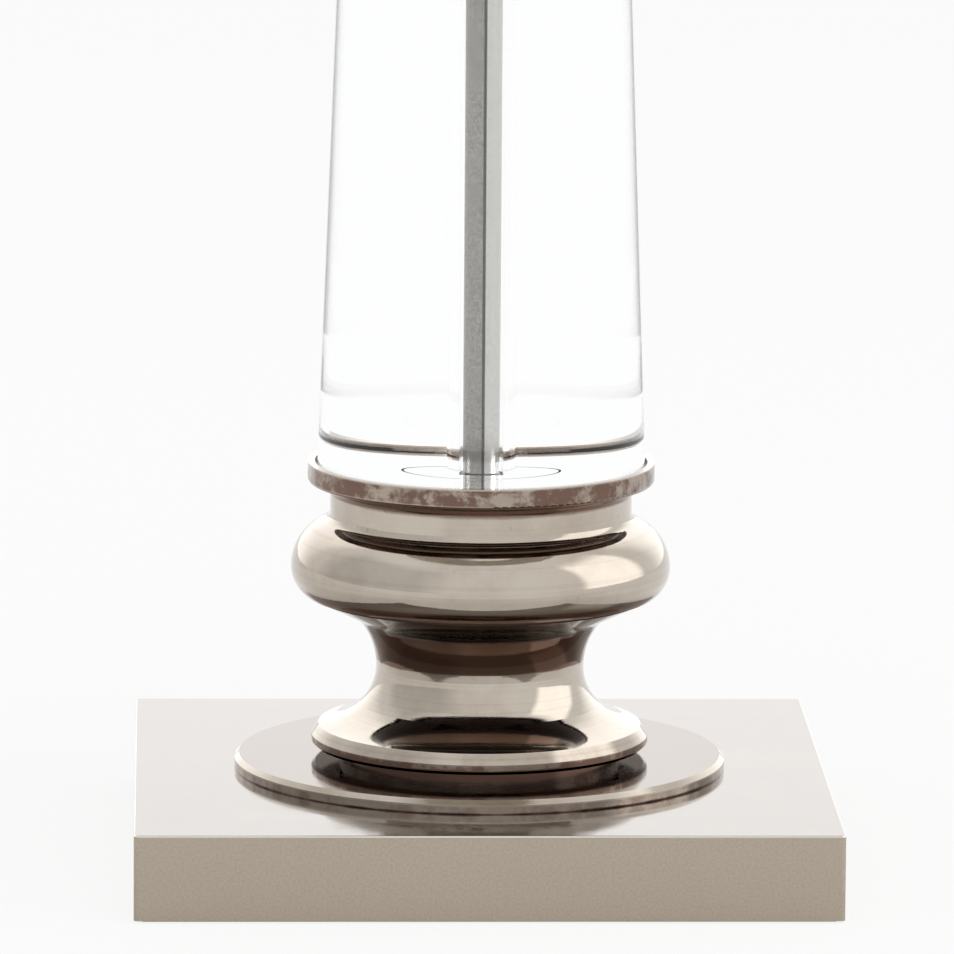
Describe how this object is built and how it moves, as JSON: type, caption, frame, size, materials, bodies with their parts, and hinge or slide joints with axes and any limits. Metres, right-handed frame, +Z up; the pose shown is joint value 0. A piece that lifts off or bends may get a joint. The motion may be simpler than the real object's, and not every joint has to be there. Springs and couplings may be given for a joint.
{
  "type": "table lamp",
  "caption": "Candlestick table lamp: square metal plinth, turned pedestal, solid tapered glass column, turn-knob lampholder and tapered fabric shade on a harp.",
  "frame": {"origin": "centre of the felt pad's underside, on the surface that the lamp stands on", "axes": "+Z up along the column, +X to the right, -Y to the front, where the switch knob is; the cord inlet faces +Y"},
  "size_m": [0.3761, 0.3762, 0.7226],
  "materials": {
    "polished_nickel": "polished nickel plate, lightly aged",
    "satin_nickel": "satin nickel with a polished top",
    "clear_glass": "polished solid crystal",
    "clear_gasket": "clear vinyl",
    "tube_steel": "threaded steel tube, dull",
    "zinc_steel": "zinc plated steel",
    "ballast_steel": "raw steel plate",
    "fibre_board": "hard fibre board",
    "felt": "black felt",
    "black_nylon": "moulded nylon",
    "nickel_wire": "nickel plated steel",
    "phenolic": "black moulded phenolic",
    "sleeve_paper": "insulating fibre paper",
    "brass_contact": "bright brass",
    "brass_stud": "nickel plated brass",
    "painted_wire": "white enamelled steel wire",
    "shade_linen": "off-white linen laminated to a stiff liner",
    "shade_tape": "folded linen tape"
  },
  "bodies": {
    "lamp": {"plinth": "satin_nickel", "base_board": "fibre_board", "felt_pad": "felt", "ballast_plate": "ballast_steel", "cord_bushing": "black_nylon", "base_washer": "zinc_steel", "lock_washer": "zinc_steel", "base_nut": "zinc_steel", "centre_tube": "tube_steel", "foot_disc": "polished_nickel", "foot_ring": "polished_nickel", "pedestal": "polished_nickel", "glass_cup": "polished_nickel", "lower_gasket": "clear_gasket", "glass_column": "clear_glass", "upper_gasket": "clear_gasket", "upper_cup": "polished_nickel", "capital": "polished_nickel", "neck_collar": "polished_nickel", "check_ring": "polished_nickel", "harp_saddle": "nickel_wire", "socket_cap": "polished_nickel", "set_screw": "zinc_steel", "socket_shell": "polished_nickel", "insulating_sleeve": "sleeve_paper", "socket_insulator": "phenolic", "screw_shell": "brass_contact", "centre_contact": "brass_contact", "terminal_screws": "brass_contact"},
    "switch": {"switch_shaft": "zinc_steel", "switch_knob": "phenolic"},
    "harp": {"harp": "nickel_wire", "harp_stud": "brass_stud"},
    "ferrule_right": {"ferrule_right": "nickel_wire"},
    "ferrule_left": {"ferrule_left": "nickel_wire"},
    "shade": {"shade_fitter": "painted_wire", "shade_cloth": "shade_linen", "shade_bottom_ring": "painted_wire", "shade_bottom_trim": "shade_tape", "shade_top_trim": "shade_tape"},
    "finial": {"finial": "polished_nickel"}
  },
  "joints": [
    {"name": "switch_turn", "type": "hinge", "parent": "lamp", "child": "switch", "pos_m": [0, -0.02, 0.4862], "axis": [0, -1, 0], "continuous": true},
    {"name": "harp_lift", "type": "slide", "parent": "lamp", "child": "harp", "axis": [0, 0, 1], "range_m": [0, 0.012]},
    {"name": "ferrule_right_lift", "type": "slide", "parent": "harp", "child": "ferrule_right", "axis": [0, 0, 1], "range_m": [0, 0.009]},
    {"name": "ferrule_left_lift", "type": "slide", "parent": "harp", "child": "ferrule_left", "axis": [0, 0, 1], "range_m": [0, 0.009]},
    {"name": "shade_turn", "type": "hinge", "parent": "harp", "child": "shade", "pos_m": [0, 0, 0.6943], "axis": [0, 0, 1], "continuous": true},
    {"name": "finial_turn", "type": "hinge", "parent": "harp", "child": "finial", "pos_m": [0, 0, 0.7], "axis": [0, 0, 1], "continuous": true}
  ]
}
